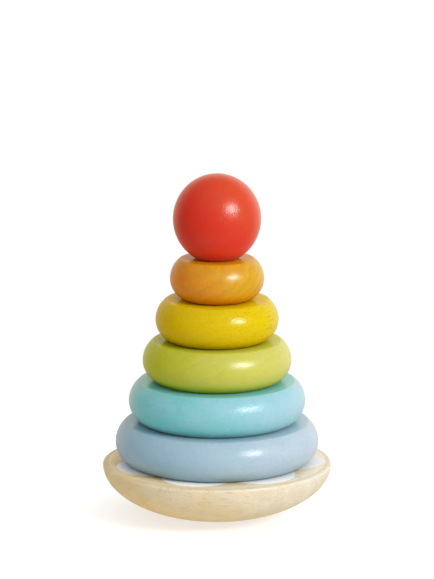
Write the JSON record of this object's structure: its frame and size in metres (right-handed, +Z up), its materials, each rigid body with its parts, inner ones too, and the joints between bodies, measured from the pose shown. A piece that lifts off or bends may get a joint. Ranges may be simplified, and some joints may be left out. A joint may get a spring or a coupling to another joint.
{
  "type": "stacking tower",
  "caption": "Wooden baby's stacking toy: coloured turned rings graded in size and a red ball, threaded on a post that stands in a round-bottomed rocking base.",
  "frame": {"origin": "middle of the flat foot under the base, on the axis that all pieces are turned about", "axes": "+Z up along the post; the part is round about Z, so X and Y are free"},
  "size_m": [0.12, 0.12, 0.1815],
  "materials": {
    "bare_wood": "pale close-grained wood under clear satin lacquer",
    "dowel_wood": "pale bare wood dowel, sanded",
    "blue_stain": "grey-blue stain under satin lacquer",
    "turquoise_stain": "turquoise stain under satin lacquer",
    "green_stain": "lime green stain under satin lacquer",
    "yellow_stain": "yellow stain under satin lacquer, open pores",
    "orange_stain": "orange stain under satin lacquer",
    "red_stain": "red stain under satin lacquer",
    "white_print": "flat white paint printed on the base"
  },
  "bodies": {
    "base": {"rocker_base": "bare_wood", "centre_post": "dowel_wood"},
    "blue": {"blue_ring": "blue_stain"},
    "turquoise": {"turquoise_ring": "turquoise_stain"},
    "green": {"green_ring": "green_stain"},
    "yellow": {"yellow_ring": "yellow_stain"},
    "orange": {"orange_ring": "orange_stain"},
    "ball": {"red_ball": "red_stain"}
  },
  "joints": [
    {"name": "blue_lift", "type": "slide", "parent": "base", "child": "blue", "axis": [0, 0, 1], "range_m": [0, 0.132]},
    {"name": "turquoise_lift", "type": "slide", "parent": "blue", "child": "turquoise", "axis": [0, 0, 1], "range_m": [0, 0.11]},
    {"name": "green_lift", "type": "slide", "parent": "turquoise", "child": "green", "axis": [0, 0, 1], "range_m": [0, 0.088]},
    {"name": "yellow_lift", "type": "slide", "parent": "green", "child": "yellow", "axis": [0, 0, 1], "range_m": [0, 0.0665]},
    {"name": "orange_lift", "type": "slide", "parent": "yellow", "child": "orange", "axis": [0, 0, 1], "range_m": [0, 0.045]},
    {"name": "ball_lift", "type": "slide", "parent": "orange", "child": "ball", "axis": [0, 0, 1], "range_m": [0, 0.023]}
  ]
}
